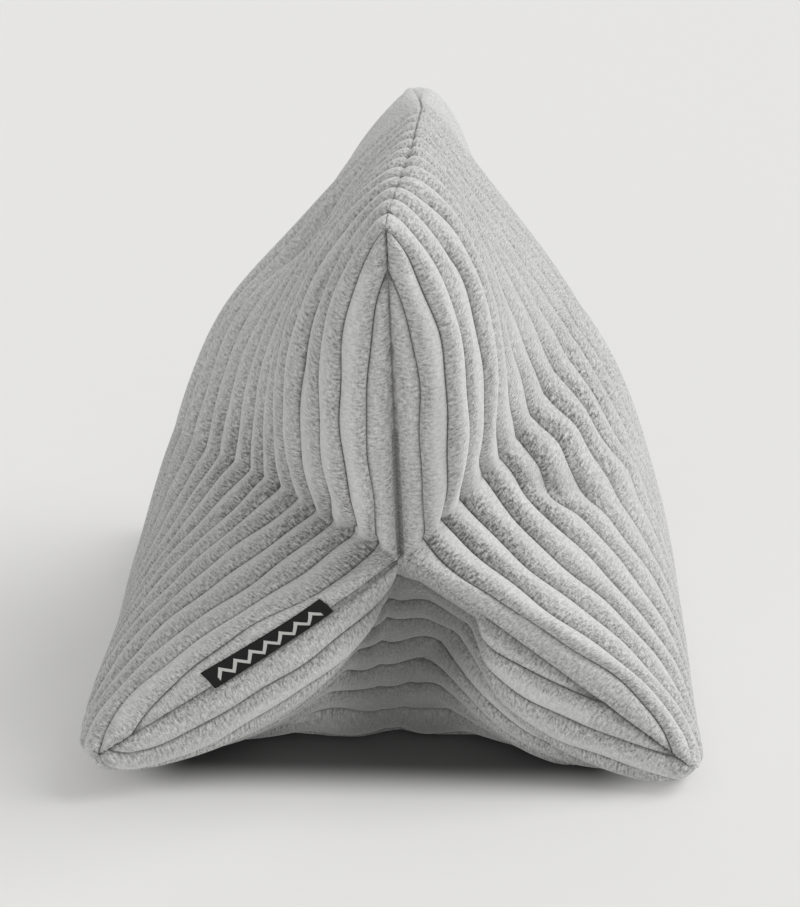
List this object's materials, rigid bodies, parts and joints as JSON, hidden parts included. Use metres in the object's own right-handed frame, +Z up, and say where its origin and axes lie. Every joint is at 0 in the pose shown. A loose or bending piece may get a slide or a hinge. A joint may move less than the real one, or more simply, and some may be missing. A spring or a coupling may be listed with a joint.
{
  "type": "neck pillow",
  "caption": "Triangular neck pillow in plush rib cloth, with flared wings at both ends and a small woven side label beside an end seam.",
  "frame": {"origin": "on the floor, under the middle of the pillow's box", "axes": "+Z up, Y along the pillow's length with the labelled end towards -Y, +X to the right as seen from the labelled end"},
  "size_m": [0.268, 0.3062, 0.2623],
  "materials": {
    "rib_cloth": "light grey plush rib cloth, matt terry pile",
    "label_weave": "black satin-woven label with a plain pale zigzag, no name"
  },
  "bodies": {
    "root": {"cushion": "rib_cloth", "label": "label_weave"}
  },
  "joints": []
}
